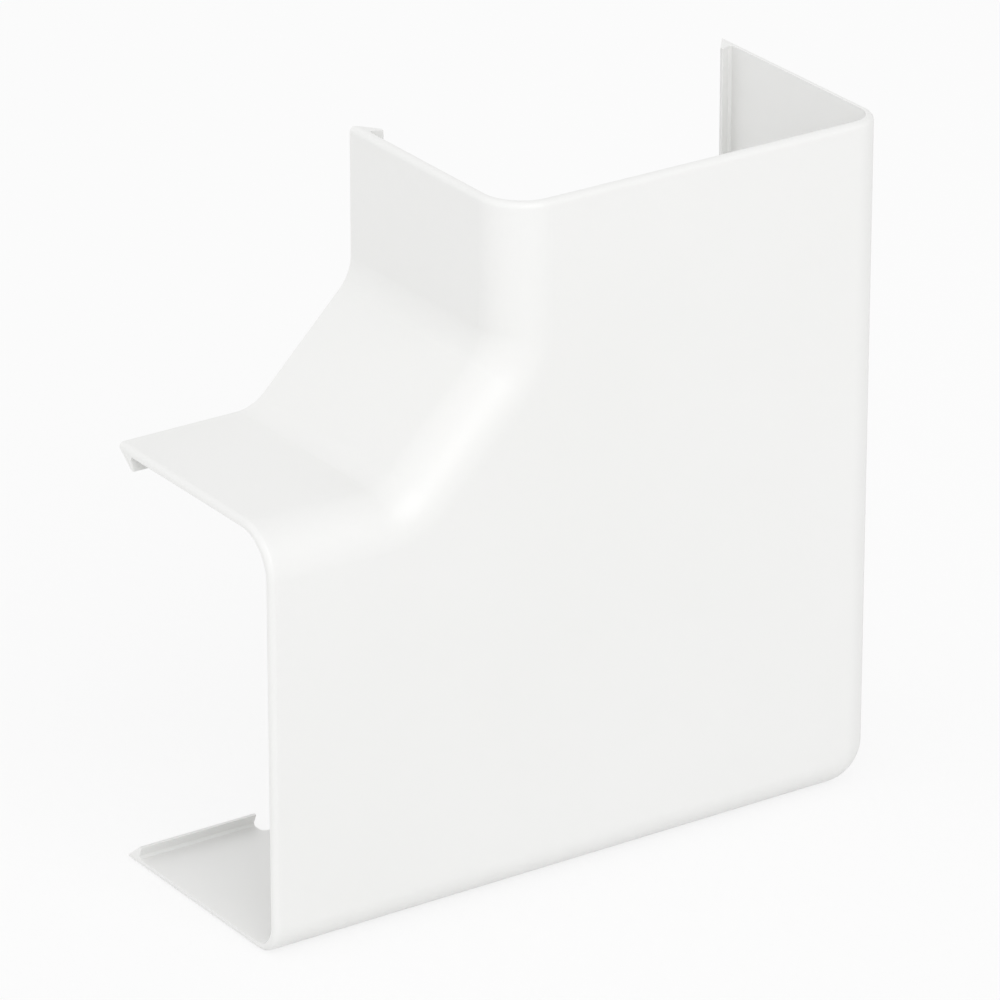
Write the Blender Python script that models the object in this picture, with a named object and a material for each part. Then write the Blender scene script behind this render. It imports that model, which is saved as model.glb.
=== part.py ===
"""Flat angle for cable trunking: one moulded cover, open at the back and at both arm ends.

The part stands on its bottom wall with its face towards -Y. Inside this file lengths are
counted from the lowest left front corner of the box around the part: x runs along the left
arm to the outer corner, y from the face to the wall behind, z up the top arm.
"""

from collections import namedtuple
from math import cos, pi, radians, sin, tan

import bmesh
import bpy
from mathutils import Matrix, Vector

MM = 0.001

# The trunking that the cover closes over
TRUNKING_WIDTH = 80.0 * MM
TRUNKING_DEPTH = 50.0 * MM
SIDE_PLAY = 0.2 * MM
WALL_GAP = 0.8 * MM

# The moulding: how far the arms reach past the corner square, and its radii on the outside
WALL = 1.5 * MM
ARM_REACH = 50.0 * MM
CORNER_CHAMFER = 21.5 * MM
FOLD_RADIUS = 8.0 * MM
OUTER_EDGE_RADIUS = 6.5 * MM
INNER_EDGE_RADIUS = 9.5 * MM
FACE_CORNER_RADIUS = 2.0 * MM
END_ROUNDING = 1.2 * MM

# The snap lips: a ramp leads in from the rim to a flat land, and a hooked face catches behind it
LIP_LENGTH = 25.0 * MM
LIP_REACH = 2.6 * MM
LIP_ROOT_DEPTH = 3.8 * MM
LIP_TIP_DEPTH = 5.0 * MM
LIP_LAND = 0.7 * MM
LIP_RIM = 0.7 * MM
RAMP_RUNOUT = 0.5 * MM

# The relief notch at the inner end of a lip, in the two long walls
NOTCH_WIDTH = 6.5 * MM
NOTCH_DEPTH = 7.0 * MM
NOTCH_RADIUS = 1.0 * MM

# How finely round stretches are divided
EDGE_STEPS = 12
FOLD_STEPS = 6
CORNER_STEPS = 14
END_STEPS = 3
NOTCH_STEPS = 4

# How far a cutter runs past what it cuts, and how deep a lip is rooted in its wall
OVERRUN = 5.0 * MM
LIP_BITE = 0.2 * MM

ARM_WIDTH = TRUNKING_WIDTH + 2 * (SIDE_PLAY + WALL)
DEPTH = TRUNKING_DEPTH + WALL - WALL_GAP
SPAN = ARM_REACH + ARM_WIDTH

PLASTIC_COLOUR = (0.88, 0.88, 0.87, 1.0)
PLASTIC_ROUGHNESS = 0.35
SMOOTH_ANGLE = radians(30)

# A straight wall, in x and z: where its outer face meets the open end of its arm, the way it
# runs from there, the way its inner side faces, and whether a notch frees the end of its lip
Wall = namedtuple("Wall", "end along inward notched")

WALLS = (
    Wall(Vector((0, 0)), Vector((1, 0)), Vector((0, 1)), True),
    Wall(Vector((0, ARM_WIDTH)), Vector((1, 0)), Vector((0, -1)), False),
    Wall(Vector((SPAN, SPAN)), Vector((0, -1)), Vector((-1, 0)), True),
    Wall(Vector((ARM_REACH, SPAN)), Vector((0, -1)), Vector((1, 0)), False),
)


def clear_scene():
    for obj in list(bpy.data.objects):
        bpy.data.objects.remove(obj)


def plastic():
    material = bpy.data.materials.new("white_plastic")
    material.use_nodes = True
    shader = material.node_tree.nodes["Principled BSDF"]
    shader.inputs["Base Color"].default_value = PLASTIC_COLOUR
    shader.inputs["Roughness"].default_value = PLASTIC_ROUGHNESS
    shader.inputs["Metallic"].default_value = 0.0
    return material


def rounded(before, corner, after, radius, steps):
    """Points of the arc that rounds a corner between two straight runs."""
    to_before = (before - corner).normalized()
    to_after = (after - corner).normalized()
    half = to_before.angle(to_after) / 2
    centre = corner + (to_before + to_after).normalized() * radius / sin(half)
    start = corner + to_before * radius / tan(half) - centre
    sweep = pi - 2 * half
    if to_before.cross(to_after) > 0:
        sweep = -sweep
    return [centre + Matrix.Rotation(sweep * step / steps, 2) @ start for step in range(steps + 1)]


def inner_run(inset, past_ends):
    """The outline round the inner side of the bend, from the left end to the top end, moved
    into the material by inset."""
    lean = inset * tan(radians(22.5))
    left = Vector((-past_ends, ARM_WIDTH - inset))
    low = Vector((ARM_REACH - CORNER_CHAMFER + lean, ARM_WIDTH - inset))
    high = Vector((ARM_REACH + inset, ARM_WIDTH + CORNER_CHAMFER - lean))
    top = Vector((ARM_REACH + inset, SPAN + past_ends))
    low_fold = rounded(left, low, high, FOLD_RADIUS + inset, FOLD_STEPS)
    high_fold = rounded(low, high, top, FOLD_RADIUS + inset, FOLD_STEPS)
    return [left, *low_fold, *high_fold, top]


def outer_run(inset, past_ends):
    """The outline round the outer side of the bend, from the top end to the left end."""
    top = Vector((SPAN - inset, SPAN + past_ends))
    corner = Vector((SPAN - inset, inset))
    left = Vector((-past_ends, inset))
    radius = FACE_CORNER_RADIUS + OUTER_EDGE_RADIUS - inset
    return [top, *rounded(top, corner, left, radius, CORNER_STEPS), left]


def side_rows(mesh, run, radius, skin, past_ends, back):
    """One side of the L as rows of points, from the back plane forward and round its front
    edge to the face, with the surface made between them."""
    bend = radius - skin
    places = [(skin, back)]
    for step in range(EDGE_STEPS + 1):
        turn = pi / 2 * step / EDGE_STEPS
        places.append((skin + bend * (1 - cos(turn)), skin + bend * (1 - sin(turn))))
    rows = []
    for inset, depth in places:
        rows.append([mesh.verts.new((spot.x, depth, spot.y)) for spot in run(inset, past_ends)])
    for row, following in zip(rows, rows[1:]):
        for corners in zip(row, row[1:], following[1:], following):
            mesh.faces.new(corners)
    return rows


def l_form(skin, past_ends, back):
    """A solid L with rounded front edges, all of it further in than the cover's outer surface
    by skin. The outside of the cover and the hollow in it are both such a form."""
    mesh = bmesh.new()
    inner = side_rows(mesh, inner_run, INNER_EDGE_RADIUS, skin, past_ends, back)
    outer = side_rows(mesh, outer_run, OUTER_EDGE_RADIUS, skin, past_ends, back)
    mesh.faces.new(inner[0] + outer[0])
    mesh.faces.new(inner[-1] + outer[-1])
    mesh.faces.new([row[0] for row in inner] + [row[-1] for row in reversed(outer)])
    mesh.faces.new([row[-1] for row in inner] + [row[0] for row in reversed(outer)])
    bmesh.ops.recalc_face_normals(mesh, faces=mesh.faces)
    return mesh


def round_open_ends(mesh):
    """Rounds the outer edges of both open ends, but not where they lie in the back plane."""
    ends = []
    for face in mesh.faces:
        at_left = all(vert.co.x < END_ROUNDING for vert in face.verts)
        at_top = all(vert.co.z > SPAN - END_ROUNDING for vert in face.verts)
        if at_left or at_top:
            ends.append(face)
    edges = []
    for edge in (edge for face in ends for edge in face.edges):
        if any(vert.co.y < DEPTH - END_ROUNDING for vert in edge.verts):
            edges.append(edge)
    bmesh.ops.bevel(
        mesh, geom=edges, offset=END_ROUNDING, segments=END_STEPS, profile=0.5, affect="EDGES"
    )


def beside(wall, along, inward, forward):
    """A place beside a wall: how far along it from its open end, how far inward from its outer
    face, and how far forward from the back plane."""
    spot = wall.end + wall.along * along + wall.inward * inward
    return (spot.x, DEPTH - forward, spot.y)


def add_prism(mesh, first, last):
    """The closed solid between two like outlines."""
    first = [mesh.verts.new(spot) for spot in first]
    last = [mesh.verts.new(spot) for spot in last]
    for corners in zip(first, first[1:] + first[:1], last[1:] + last[:1], last):
        mesh.faces.new(corners)
    mesh.faces.new(first)
    mesh.faces.new(last)
    bmesh.ops.recalc_face_normals(mesh, faces=mesh.faces)


def add_bar(mesh, wall, section, start, stop):
    """A straight bar along a wall. Its section is in pairs, inward and forward."""
    first = [beside(wall, start, *spot) for spot in section]
    last = [beside(wall, stop, *spot) for spot in section]
    add_prism(mesh, first, last)


def lip_bars():
    """The four lips before their ramps are cut, each rooted in its wall. Beside a notch the
    bar runs on into it, and the notch then ends the lip."""
    mesh = bmesh.new()
    tip = WALL + LIP_REACH
    root = WALL - LIP_BITE
    root_depth = LIP_ROOT_DEPTH - LIP_BITE * (LIP_TIP_DEPTH - LIP_ROOT_DEPTH) / LIP_REACH
    section = ((root, LIP_LAND), (tip, LIP_LAND), (tip, LIP_TIP_DEPTH), (root, root_depth))
    for wall in WALLS:
        into_notch = NOTCH_WIDTH / 2 if wall.notched else 0
        add_bar(mesh, wall, section, 0, LIP_LENGTH + into_notch)
    return mesh


def lip_ramps():
    """What is cut away behind the lips' lead-in ramps, which run from the rim to the land."""
    mesh = bmesh.new()
    foot = Vector((LIP_RIM, 0))
    crest = Vector((WALL + LIP_REACH, LIP_TIP_DEPTH - LIP_LAND))
    low = foot - (crest - foot) / 2
    high = crest + (crest - foot) / 2
    section = (low, high, Vector((high.x, -OVERRUN)), Vector((low.x, -OVERRUN)))
    for wall in WALLS:
        add_bar(mesh, wall, section, -OVERRUN, LIP_LENGTH + RAMP_RUNOUT)
    return mesh


def lip_notches():
    """The relief notches, each a slot with rounded inner corners through its wall."""
    mesh = bmesh.new()
    near = LIP_LENGTH
    far = LIP_LENGTH + NOTCH_WIDTH
    near_mouth = Vector((near, -OVERRUN))
    near_corner = Vector((near, NOTCH_DEPTH))
    far_corner = Vector((far, NOTCH_DEPTH))
    far_mouth = Vector((far, -OVERRUN))
    outline = [
        near_mouth,
        *rounded(near_mouth, near_corner, far_corner, NOTCH_RADIUS, NOTCH_STEPS),
        *rounded(near_corner, far_corner, far_mouth, NOTCH_RADIUS, NOTCH_STEPS),
        far_mouth,
    ]
    for wall in (wall for wall in WALLS if wall.notched):
        outside = [beside(wall, spot.x, -OVERRUN, spot.y) for spot in outline]
        inside = [beside(wall, spot.x, WALL + LIP_REACH + OVERRUN, spot.y) for spot in outline]
        add_prism(mesh, outside, inside)
    return mesh


def add_object(name, mesh, place):
    data = bpy.data.meshes.new(name)
    mesh.to_mesh(data)
    mesh.free()
    obj = bpy.data.objects.new(name, data)
    obj.parent = place
    bpy.context.collection.objects.link(obj)
    return obj


def shape_with(cover, name, mesh, operation):
    """Joins a shape to the cover, or cuts the cover with it."""
    tool = add_object(name, mesh, cover.parent)
    tool.hide_render = True
    tool.display_type = "WIRE"
    step = cover.modifiers.new(name, "BOOLEAN")
    step.operation = operation
    step.object = tool


def flat_angle_cover(place):
    outside = l_form(0, 0, DEPTH)
    round_open_ends(outside)
    cover = add_object("flat_angle_cover", outside, place)
    shape_with(cover, "hollow", l_form(WALL, OVERRUN, DEPTH + OVERRUN), "DIFFERENCE")
    shape_with(cover, "lip_bars", lip_bars(), "UNION")
    shape_with(cover, "lip_ramps", lip_ramps(), "DIFFERENCE")
    shape_with(cover, "lip_notches", lip_notches(), "DIFFERENCE")
    cover.data.materials.append(plastic())
    cover.data.shade_smooth()
    cover.data.set_sharp_from_angle(angle=SMOOTH_ANGLE)


def main():
    clear_scene()
    place = bpy.data.objects.new("place", None)
    place.location = (-SPAN / 2, -DEPTH / 2, 0)
    bpy.context.collection.objects.link(place)
    flat_angle_cover(place)


main()
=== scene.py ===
"""The look of the trunking flat angle: one white moulded cover standing on a pale floor.

Lengths are in metres and angles in degrees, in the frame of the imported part: the cover stands
on z = 0 with its face towards -Y, its left arm runs towards -X and its top arm towards +Z.
"""

import math
from collections import namedtuple

import bpy
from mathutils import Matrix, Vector


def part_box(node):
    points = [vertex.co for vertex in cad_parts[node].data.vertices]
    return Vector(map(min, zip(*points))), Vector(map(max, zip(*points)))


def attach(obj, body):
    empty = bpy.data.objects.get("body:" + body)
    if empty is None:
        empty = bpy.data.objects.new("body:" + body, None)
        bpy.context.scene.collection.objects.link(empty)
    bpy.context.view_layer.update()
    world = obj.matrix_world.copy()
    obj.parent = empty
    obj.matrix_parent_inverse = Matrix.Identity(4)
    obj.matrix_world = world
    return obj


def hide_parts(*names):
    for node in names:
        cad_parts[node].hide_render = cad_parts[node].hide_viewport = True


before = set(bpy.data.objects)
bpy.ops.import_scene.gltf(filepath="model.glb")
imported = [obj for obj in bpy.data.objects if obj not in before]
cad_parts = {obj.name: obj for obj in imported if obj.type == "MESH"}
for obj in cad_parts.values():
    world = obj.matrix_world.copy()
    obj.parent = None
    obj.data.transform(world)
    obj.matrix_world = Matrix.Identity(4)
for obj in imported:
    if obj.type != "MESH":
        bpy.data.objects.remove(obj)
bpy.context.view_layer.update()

MM = 0.001
NODE = "flat_angle_cover"
LOW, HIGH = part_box(NODE)

# The cover's own sizes, as moulded. Its outline turns by FOLD_ANGLE at each end of the slant
WALL = 1.5 * MM
ARM_WIDTH = 83.4 * MM
CORNER_CHAMFER = 21.5 * MM
FOLD_ANGLE = 45
FOLD_RADIUS = 8.0 * MM
OUTER_CORNER_RADIUS = 8.5 * MM
OUTER_EDGE_RADIUS = 6.5 * MM
INNER_EDGE_RADIUS = 9.5 * MM
END_ROUNDING = 1.2 * MM
SOFT_EDGE = 0.10 * MM

# Snap lips and the relief notches beside two of them, with depths measured from the back rim
LIP_LENGTH = 25.0 * MM
LIP_REACH = 2.6 * MM
LIP_ROOT_DEPTH = 3.8 * MM
LIP_TIP_DEPTH = 5.0 * MM
LIP_LAND = 0.7 * MM
LIP_RIM = 0.7 * MM
LIP_BITE = 0.2 * MM
LIP_GUSSET = 0.6 * MM
RAMP_RUNOUT = 0.5 * MM
NOTCH_WIDTH = 6.5 * MM
NOTCH_DEPTH = 7.0 * MM
NOTCH_RADIUS = 1.0 * MM

# How finely the round stretches are divided
EDGE_STEPS = 20
FOLD_STEPS = 12
CORNER_STEPS = 24
END_STEPS = 6
SOFT_STEPS = 3
NOTCH_STEPS = 6

# Where the inner corner of the L lies
BEND_X = HIGH.x - ARM_WIDTH
BEND_Z = LOW.z + ARM_WIDTH

# How near two places count as one, how much of a normal says that a face looks one way, the
# shortest edge that is kept, and how far a cutting shape reaches past what it cuts
NEAR = 0.02 * MM
FACING = 0.999
SHORTEST = 0.05 * MM
OVERRUN = 5.0 * MM

# Faces that meet at less than FLAT_ANGLE are made one, and edges that turn by more than
# SOFT_ANGLE are softened
FLAT_ANGLE = 1
SOFT_ANGLE = 40

# The plastic: its two faint tones, its roughness from least to most, its refractive index, the
# depths of its unevenness and its grain, and the range of a noise pattern that is made use of
TONES = ((0.830, 0.831, 0.819, 1), (0.846, 0.846, 0.838, 1))
ROUGHNESS = (0.36, 0.44)
REFRACTIVE_INDEX = 1.53
WAVE_DEPTH = 0.06 * MM
GRAIN_DEPTH = 0.004 * MM
NOISE_RANGE = (0.3, 0.7)

# The camera: where it looks, how far it stands, how far it is turned and tipped down, and its
# lens and sensor, which alone are in millimetres
VIEW_TARGET = Vector((-0.0012, -0.0002, 0.0652))
VIEW_DISTANCE = 1.353
VIEW_TURN = 34.13
VIEW_DROP = 23.67
VIEW_LENS = 266.8
SENSOR_WIDTH = 36

# The studio: an even fill, soft glows on the left and behind, a large lamp in front, and the
# floor, which lies a hair below the cover so that the two don't touch. LAMP_LEVEL is about how
# bright the lamp makes a white face that looks straight at it
FILL_LEVEL = 0.65
Glow = namedtuple("Glow", "direction focus level")
GLOWS = (
    Glow(Vector((-1, 0, 0)), 1, 0.49),
    Glow(Vector((0, 0.94, 0.34)), 4, 0.34),
)
LAMP_DIRECTION = Vector((-0.11, -0.78, 0.62))
LAMP_DISTANCE = 3.0
LAMP_SIZE = 2.2
LAMP_LEVEL = 0.355
FLOOR_SIZE = 12.0
FLOOR_GAP = 0.05 * MM
FLOOR_TONE = 0.88
FLOOR_LIFT = 0.8

# A straight wall: where its outer face meets the open end of its arm, the way it runs from
# there, the way its inner side faces, and whether a notch frees the end of its lip
Wall = namedtuple("Wall", "end along inward notched")
ALONG_X = Vector((1, 0, 0))
ALONG_Z = Vector((0, 0, 1))
WALLS = (
    Wall(Vector((LOW.x, 0, LOW.z)), ALONG_X, ALONG_Z, True),
    Wall(Vector((LOW.x, 0, BEND_Z)), ALONG_X, -ALONG_Z, False),
    Wall(Vector((HIGH.x, 0, HIGH.z)), -ALONG_Z, -ALONG_X, True),
    Wall(Vector((BEND_X, 0, HIGH.z)), -ALONG_Z, ALONG_X, False),
)


def select_only(obj):
    """Makes obj the only selected object and the active one."""
    bpy.ops.object.select_all(action="DESELECT")
    obj.select_set(True)
    bpy.context.view_layer.objects.active = obj


def pick(obj, kind, wanted):
    """Selects the faces, edges or points of obj that wanted says yes to, and leaves the object
    in edit mode."""
    bpy.ops.object.mode_set(mode="EDIT")
    bpy.ops.mesh.select_mode(type=kind)
    bpy.ops.mesh.select_all(action="DESELECT")
    bpy.ops.object.mode_set(mode="OBJECT")
    data = obj.data
    group = {"VERT": data.vertices, "EDGE": data.edges, "FACE": data.polygons}[kind]
    for item in group:
        if wanted(item):
            item.select = True
    bpy.ops.object.mode_set(mode="EDIT")


def edge_ends(obj, edge):
    """The places of an edge's two ends."""
    return [obj.data.vertices[index].co for index in edge.vertices]


def on(value, target):
    """Whether two measures are the same, give or take NEAR."""
    return abs(value - target) < NEAR


def bevel_picked(offset, segments):
    """Rounds the edges that are picked, and leaves edit mode."""
    bpy.ops.mesh.bevel(
        offset_type="OFFSET", offset=offset, segments=segments, profile=0.5, affect="EDGES"
    )
    bpy.ops.object.mode_set(mode="OBJECT")


def bevel_edges(obj, wanted, offset, segments):
    """Rounds the edges whose two ends wanted says yes to."""
    pick(obj, "EDGE", lambda edge: wanted(*edge_ends(obj, edge)))
    bevel_picked(offset, segments)


def solid_l():
    """A solid L: a block at the corner with both arms pulled out of it."""
    size = Vector((ARM_WIDTH, HIGH.y - LOW.y, ARM_WIDTH))
    centre = Vector((HIGH.x, HIGH.y, BEND_Z)) - size / 2
    bpy.ops.object.select_all(action="DESELECT")
    bpy.ops.mesh.primitive_cube_add(size=1, location=centre, scale=size)
    cover = bpy.context.object
    cover.name = "flat_angle_moulding"
    bpy.ops.object.transform_apply(location=True, rotation=True, scale=True)
    pick(cover, "FACE", lambda face: face.normal.x < -FACING)
    bpy.ops.mesh.extrude_region_move(
        TRANSFORM_OT_translate={"value": (LOW.x - BEND_X, 0, 0)}
    )
    bpy.ops.object.mode_set(mode="OBJECT")
    pick(cover, "FACE", lambda face: face.normal.z > FACING and face.center.x > BEND_X)
    bpy.ops.mesh.extrude_region_move(
        TRANSFORM_OT_translate={"value": (0, 0, HIGH.z - BEND_Z)}
    )
    bpy.ops.mesh.select_all(action="SELECT")
    bpy.ops.mesh.dissolve_limited(angle_limit=math.radians(FLAT_ANGLE))
    bpy.ops.object.mode_set(mode="OBJECT")
    return cover


def round_the_l(cover):
    """Slants the inner corner, rounds its two folds and the outer corner, then rounds the
    front edges with their two different radii."""

    def along_y(a, b):
        return on(a.x, b.x) and on(a.z, b.z) and not on(a.y, b.y)

    def at_bend(a, b):
        return along_y(a, b) and on(a.x, BEND_X) and on(a.z, BEND_Z)

    def at_fold(a, b):
        low = on(a.x, BEND_X - CORNER_CHAMFER) and on(a.z, BEND_Z)
        high = on(a.x, BEND_X) and on(a.z, BEND_Z + CORNER_CHAMFER)
        return along_y(a, b) and (low or high)

    def at_outer_corner(a, b):
        return along_y(a, b) and on(a.x, HIGH.x) and on(a.z, LOW.z)

    bevel_edges(cover, at_bend, CORNER_CHAMFER, 1)
    tangent = FOLD_RADIUS * math.tan(math.radians(FOLD_ANGLE / 2))
    bevel_edges(cover, at_fold, tangent, FOLD_STEPS)
    bevel_edges(cover, at_outer_corner, OUTER_CORNER_RADIUS, CORNER_STEPS)

    def in_front(a, b):
        return on(a.y, LOW.y) and on(b.y, LOW.y)

    def across_an_end(a, b):
        left = on(a.x, LOW.x) and on(b.x, LOW.x)
        top = on(a.z, HIGH.z) and on(b.z, HIGH.z)
        return left or top

    def inner_side(spot):
        """Whether a place on the L's outline belongs to the side of the inner corner."""
        on_top_wall = on(spot.z, BEND_Z) and spot.x < BEND_X
        on_left_wall = on(spot.x, BEND_X) and spot.z > BEND_Z
        slanted = spot.x < BEND_X + NEAR and spot.z > BEND_Z - NEAR
        return on_top_wall or on_left_wall or slanted

    def inner_front(a, b):
        return in_front(a, b) and not across_an_end(a, b) and inner_side(a) and inner_side(b)

    def outer_front(a, b):
        outer = not (inner_side(a) and inner_side(b))
        return in_front(a, b) and not across_an_end(a, b) and outer

    bevel_edges(cover, outer_front, OUTER_EDGE_RADIUS, EDGE_STEPS)
    bevel_edges(cover, inner_front, INNER_EDGE_RADIUS, EDGE_STEPS)


def open_the_l(cover):
    """Takes the back and both end faces away, gives what is left its wall, and rounds the
    outer edges of both open ends."""

    def open_side(face):
        back = face.normal.y > FACING
        left = face.normal.x < -FACING and on(face.center.x, LOW.x)
        top = face.normal.z > FACING and on(face.center.z, HIGH.z)
        return back or left or top

    pick(cover, "FACE", open_side)
    bpy.ops.mesh.delete(type="FACE")
    bpy.ops.object.mode_set(mode="OBJECT")
    skin_points = len(cover.data.vertices)
    select_only(cover)
    shell = cover.modifiers.new("wall", "SOLIDIFY")
    shell.thickness = WALL
    shell.offset = -1
    shell.use_even_offset = True
    shell.use_rim = True
    bpy.ops.object.modifier_apply(modifier="wall")

    def outer_end(edge):
        a, b = edge_ends(cover, edge)
        left = on(a.x, LOW.x) and on(b.x, LOW.x)
        top = on(a.z, HIGH.z) and on(b.z, HIGH.z)
        at_back = on(a.y, HIGH.y) and on(b.y, HIGH.y)
        return max(edge.vertices) < skin_points and (left or top) and not at_back

    pick(cover, "EDGE", outer_end)
    bevel_picked(END_ROUNDING, END_STEPS)


def beside(wall, along, inward, forward):
    """A place beside a straight wall: how far along it from its open end, how far inward from
    its outer face and how far forward from its back rim."""
    spot = wall.end + wall.along * along + wall.inward * inward
    return Vector((spot.x, HIGH.y - forward, spot.z))


def block_between(name, one, other):
    """A block with these two opposite corners."""
    size = Vector([abs(a - b) for a, b in zip(one, other)])
    bpy.ops.object.select_all(action="DESELECT")
    bpy.ops.mesh.primitive_cube_add(size=1, location=(one + other) / 2, scale=size)
    block = bpy.context.object
    block.name = name
    bpy.ops.object.transform_apply(location=True, rotation=True, scale=True)
    return block


def set_back(block, wall, inward, front_y, distance):
    """Moves the front points that lie this far inward back by the distance."""

    def in_front(vert):
        across = (vert.co - wall.end).dot(wall.inward)
        return on(across, inward) and on(vert.co.y, front_y)

    pick(block, "VERT", in_front)
    bpy.ops.transform.translate(value=(0, distance, 0))
    bpy.ops.object.mode_set(mode="OBJECT")


def slanted_block(name, wall, start, stop, front, back):
    """A bar along a wall. Its front runs through the given places, from near the wall to
    further in, and each is a pair, inward and forward. The last one lies furthest forward."""
    near = beside(wall, start, front[0][0], back)
    far = beside(wall, stop, *front[-1])
    block = block_between(name, near, far)
    for inward, _ in front[1:-1]:
        pick(block, "FACE", lambda face: True)
        bpy.ops.mesh.bisect(plane_co=beside(wall, 0, inward, 0), plane_no=wall.inward)
        bpy.ops.object.mode_set(mode="OBJECT")
    for inward, forward in front[:-1]:
        set_back(block, wall, inward, far.y, front[-1][1] - forward)
    return block


def shape_with(cover, tool, operation):
    """Joins a shape to the cover, or cuts the cover with it, and takes the shape away."""
    select_only(cover)
    step = cover.modifiers.new(tool.name, "BOOLEAN")
    step.operation = operation
    step.object = tool
    bpy.ops.object.modifier_apply(modifier=step.name)
    bpy.data.objects.remove(tool)


def add_lip(cover, wall):
    """A hooked lip with its lead-in ramp and a small gusset at its root. The gusset is as high
    as it is wide, and the hook bites a little way into the wall so that the two join."""
    tip = WALL + LIP_REACH
    undercut = (LIP_TIP_DEPTH - LIP_ROOT_DEPTH) / LIP_REACH
    gusset_depth = LIP_ROOT_DEPTH + LIP_GUSSET + LIP_BITE * (1 - undercut)
    front = (
        (WALL - LIP_BITE, gusset_depth),
        (WALL + LIP_GUSSET, LIP_ROOT_DEPTH + LIP_GUSSET * undercut),
        (tip, LIP_TIP_DEPTH),
    )
    stop = LIP_LENGTH + (NOTCH_WIDTH / 2 if wall.notched else 0)
    hook = slanted_block("lip", wall, 0, stop, front, LIP_LAND)
    shape_with(cover, hook, "UNION")
    rise = (LIP_TIP_DEPTH - LIP_LAND) / (tip - LIP_RIM)
    low = (LIP_RIM - LIP_REACH, -LIP_REACH * rise)
    high = (tip + LIP_REACH, (tip + LIP_REACH - LIP_RIM) * rise)
    ramp = slanted_block(
        "ramp", wall, -OVERRUN, LIP_LENGTH + RAMP_RUNOUT, (low, high), -OVERRUN
    )
    shape_with(cover, ramp, "DIFFERENCE")


def cut_notch(cover, wall):
    """The relief slot at a lip's inner end, rounded at its bottom."""
    near = beside(wall, LIP_LENGTH, -OVERRUN, -OVERRUN)
    far = beside(wall, LIP_LENGTH + NOTCH_WIDTH, WALL + LIP_REACH + OVERRUN, NOTCH_DEPTH)
    slot = block_between("notch", near, far)

    def at_bottom(a, b):
        through = on(a.y, far.y) and on(b.y, far.y)
        return through and abs((a - b).dot(wall.inward)) > NEAR

    bevel_edges(slot, at_bottom, NOTCH_RADIUS, NOTCH_STEPS)
    shape_with(cover, slot, "DIFFERENCE")


def soften(cover):
    """Merges slivers, takes the sharpness off every edge that turns by more than SOFT_ANGLE, and
    keeps the flats truly flat."""
    select_only(cover)
    bpy.ops.object.mode_set(mode="EDIT")
    bpy.ops.mesh.select_all(action="SELECT")
    bpy.ops.mesh.remove_doubles(threshold=SHORTEST)
    bpy.ops.object.mode_set(mode="OBJECT")
    bpy.ops.object.shade_smooth()
    edges = cover.modifiers.new("soft_edges", "BEVEL")
    edges.limit_method = "ANGLE"
    edges.angle_limit = math.radians(SOFT_ANGLE)
    edges.width = SOFT_EDGE
    edges.segments = SOFT_STEPS
    edges.use_clamp_overlap = False
    bpy.ops.object.modifier_apply(modifier="soft_edges")
    shading = cover.modifiers.new("flats", "WEIGHTED_NORMAL")
    shading.mode = "FACE_AREA"
    shading.keep_sharp = False
    bpy.ops.object.modifier_apply(modifier="flats")


def make_moulding():
    """The whole cover, modelled as the one piece that it is moulded as."""
    cover = solid_l()
    round_the_l(cover)
    open_the_l(cover)
    for wall in WALLS:
        add_lip(cover, wall)
    for wall in WALLS:
        if wall.notched:
            cut_notch(cover, wall)
    soften(cover)
    return cover


def node_tree(owner):
    """The node tree of a material or a world, emptied."""
    owner.use_nodes = True
    tree = owner.node_tree
    tree.nodes.clear()
    return tree


def add_noise(tree, coordinates, per_metre, detail, roughness):
    """A noise pattern on the piece's own coordinates, per_metre cells to the metre."""
    noise = tree.nodes.new("ShaderNodeTexNoise")
    noise.inputs["Scale"].default_value = per_metre
    noise.inputs["Detail"].default_value = detail
    noise.inputs["Roughness"].default_value = roughness
    tree.links.new(coordinates.outputs["Object"], noise.inputs["Vector"])
    return noise


def add_range(tree, source, low, high):
    """Turns a noise pattern into values from low to high."""
    spread = tree.nodes.new("ShaderNodeMapRange")
    spread.inputs["From Min"].default_value = NOISE_RANGE[0]
    spread.inputs["From Max"].default_value = NOISE_RANGE[1]
    spread.inputs["To Min"].default_value = low
    spread.inputs["To Max"].default_value = high
    tree.links.new(source.outputs["Fac"], spread.inputs["Value"])
    return spread


def add_bump(tree, source, depth, below=None):
    """Unevenness of this depth, on top of that of another bump if one lies below."""
    bump = tree.nodes.new("ShaderNodeBump")
    bump.inputs["Strength"].default_value = 1.0
    bump.inputs["Distance"].default_value = depth
    tree.links.new(source.outputs["Fac"], bump.inputs["Height"])
    if below:
        tree.links.new(below.outputs["Normal"], bump.inputs["Normal"])
    return bump


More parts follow.
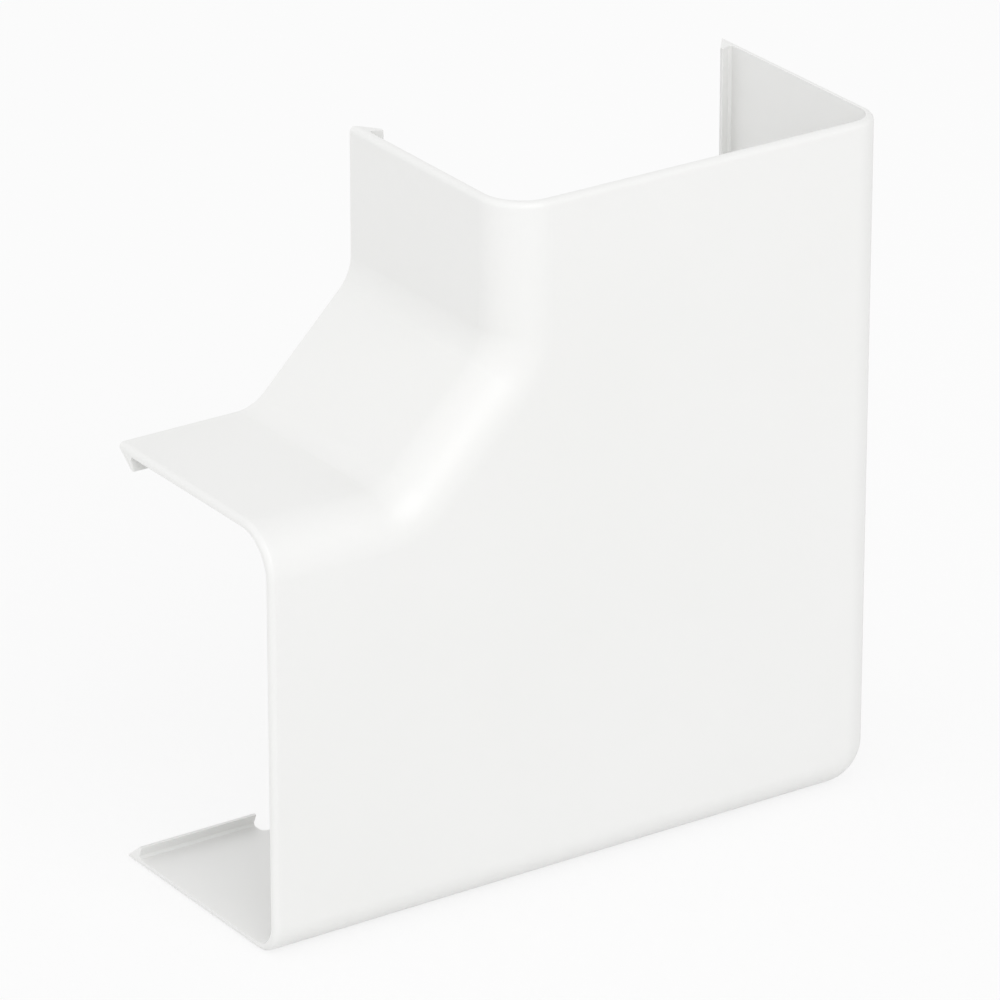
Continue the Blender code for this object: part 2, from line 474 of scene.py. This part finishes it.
def white_moulded_plastic():
    """Smooth white moulded PVC: faint flow tones, a satin gloss that varies a little, the
    slight unevenness of a moulded face and the fine grain of the mould's polish."""
    material = bpy.data.materials.new("white_moulded_plastic")
    tree = node_tree(material)
    coordinates = tree.nodes.new("ShaderNodeTexCoord")
    shader = tree.nodes.new("ShaderNodeBsdfPrincipled")
    output = tree.nodes.new("ShaderNodeOutputMaterial")
    tree.links.new(shader.outputs["BSDF"], output.inputs["Surface"])

    flow = add_noise(tree, coordinates, per_metre=14, detail=3, roughness=0.5)
    tone = tree.nodes.new("ShaderNodeMix")
    tone.data_type = "RGBA"
    tone.inputs["A"].default_value = TONES[0]
    tone.inputs["B"].default_value = TONES[1]
    tree.links.new(add_range(tree, flow, 0, 1).outputs["Result"], tone.inputs["Factor"])
    tree.links.new(tone.outputs["Result"], shader.inputs["Base Color"])

    handled = add_noise(tree, coordinates, per_metre=60, detail=4, roughness=0.6)
    gloss = add_range(tree, handled, *ROUGHNESS)
    tree.links.new(gloss.outputs["Result"], shader.inputs["Roughness"])
    shader.inputs["IOR"].default_value = REFRACTIVE_INDEX

    waves = add_noise(tree, coordinates, per_metre=45, detail=1, roughness=0.4)
    grain = add_noise(tree, coordinates, per_metre=2600, detail=2, roughness=0.6)
    wavy = add_bump(tree, waves, WAVE_DEPTH)
    grained = add_bump(tree, grain, GRAIN_DEPTH, below=wavy)
    tree.links.new(grained.outputs["Normal"], shader.inputs["Normal"])
    return material


def add_moulding():
    """The cover in its white plastic, tied to the part's root and standing in for its node."""
    cover = make_moulding()
    cover.data.materials.clear()
    cover.data.materials.append(white_moulded_plastic())
    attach(cover, "root")
    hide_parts(NODE)


def add_math(tree, operation, first, second):
    """A sum or the like of two values, each a number or another node's output."""
    step = tree.nodes.new("ShaderNodeMath")
    step.operation = operation
    for socket, value in zip(step.inputs, (first, second)):
        if isinstance(value, bpy.types.NodeSocket):
            tree.links.new(value, socket)
        else:
            socket.default_value = value
    return step.outputs["Value"]


def shows_white(tree):
    """One for a ray that comes from the camera, off something glossy or through something
    clear, and nought for any other."""
    path = tree.nodes.new("ShaderNodeLightPath")
    mirrored = add_math(
        tree, "MAXIMUM", path.outputs["Is Glossy Ray"], path.outputs["Is Transmission Ray"]
    )
    return add_math(tree, "MAXIMUM", path.outputs["Is Camera Ray"], mirrored)


def add_glows(tree):
    """How bright the studio is in each direction: even, and brighter towards each glow, which
    is the narrower the higher its focus."""
    place = tree.nodes.new("ShaderNodeTexCoord")
    brightness = FILL_LEVEL
    for glow in GLOWS:
        along = tree.nodes.new("ShaderNodeVectorMath")
        along.operation = "DOT_PRODUCT"
        along.inputs[1].default_value = glow.direction.normalized()
        tree.links.new(place.outputs["Generated"], along.inputs[0])
        ahead = add_math(tree, "MAXIMUM", along.outputs["Value"], 0.0)
        lobe = add_math(tree, "MULTIPLY", add_math(tree, "POWER", ahead, glow.focus), glow.level)
        brightness = add_math(tree, "ADD", lobe, brightness)
    return brightness


def light_the_studio():
    """White all round, with its even fill and its glows, and one large soft lamp."""
    world = bpy.data.worlds.new("white_studio")
    bpy.context.scene.world = world
    tree = node_tree(world)
    backdrop = tree.nodes.new("ShaderNodeBackground")
    backdrop.inputs["Color"].default_value = (1, 1, 1, 1)
    strength = tree.nodes.new("ShaderNodeMix")
    tree.links.new(add_glows(tree), strength.inputs["A"])
    strength.inputs["B"].default_value = 1.0
    tree.links.new(shows_white(tree), strength.inputs["Factor"])
    tree.links.new(strength.outputs["Result"], backdrop.inputs["Strength"])
    output = tree.nodes.new("ShaderNodeOutputWorld")
    tree.links.new(backdrop.outputs["Background"], output.inputs["Surface"])

    light = bpy.data.lights.new("soft_lamp", "AREA")
    light.shape = "SQUARE"
    light.size = LAMP_SIZE
    light.energy = LAMP_LEVEL * (math.pi * LAMP_DISTANCE) ** 2
    lamp = bpy.data.objects.new("soft_lamp", light)
    bpy.context.collection.objects.link(lamp)
    lamp.location = VIEW_TARGET + LAMP_DIRECTION.normalized() * LAMP_DISTANCE
    towards = VIEW_TARGET - lamp.location
    lamp.rotation_euler = towards.to_track_quat("-Z", "Y").to_euler()


def lay_the_floor():
    """A pale floor that runs into the white all round and keeps the cover's soft shadow."""
    bpy.ops.object.select_all(action="DESELECT")
    bpy.ops.mesh.primitive_plane_add(size=FLOOR_SIZE, location=(0, 0, -FLOOR_GAP))
    floor = bpy.context.object
    floor.name = "floor"
    material = bpy.data.materials.new("pale_floor")
    tree = node_tree(material)
    matt = tree.nodes.new("ShaderNodeBsdfDiffuse")
    matt.inputs["Color"].default_value = (FLOOR_TONE, FLOOR_TONE, FLOOR_TONE, 1)
    white = tree.nodes.new("ShaderNodeEmission")
    white.inputs["Strength"].default_value = 1.0
    mix = tree.nodes.new("ShaderNodeMixShader")
    tree.links.new(add_math(tree, "MULTIPLY", shows_white(tree), FLOOR_LIFT), mix.inputs["Fac"])
    tree.links.new(matt.outputs["BSDF"], mix.inputs[1])
    tree.links.new(white.outputs["Emission"], mix.inputs[2])
    output = tree.nodes.new("ShaderNodeOutputMaterial")
    tree.links.new(mix.outputs["Shader"], output.inputs["Surface"])
    floor.data.materials.append(material)


def set_up_camera():
    """Looks from the left of the face and from above, with a long lens."""
    turn = math.radians(VIEW_TURN)
    drop = math.radians(VIEW_DROP)
    level = math.cos(drop)
    look = Vector((math.sin(turn) * level, math.cos(turn) * level, -math.sin(drop)))
    camera_data = bpy.data.cameras.new("camera")
    camera_data.sensor_width = SENSOR_WIDTH
    camera_data.lens = VIEW_LENS
    camera = bpy.data.objects.new("camera", camera_data)
    bpy.context.collection.objects.link(camera)
    camera.location = VIEW_TARGET - look * VIEW_DISTANCE
    camera.rotation_euler = look.to_track_quat("-Z", "Y").to_euler()
    bpy.context.scene.camera = camera


add_moulding()
lay_the_floor()
light_the_studio()
set_up_camera()
bpy.context.scene.view_settings.view_transform = "Standard"
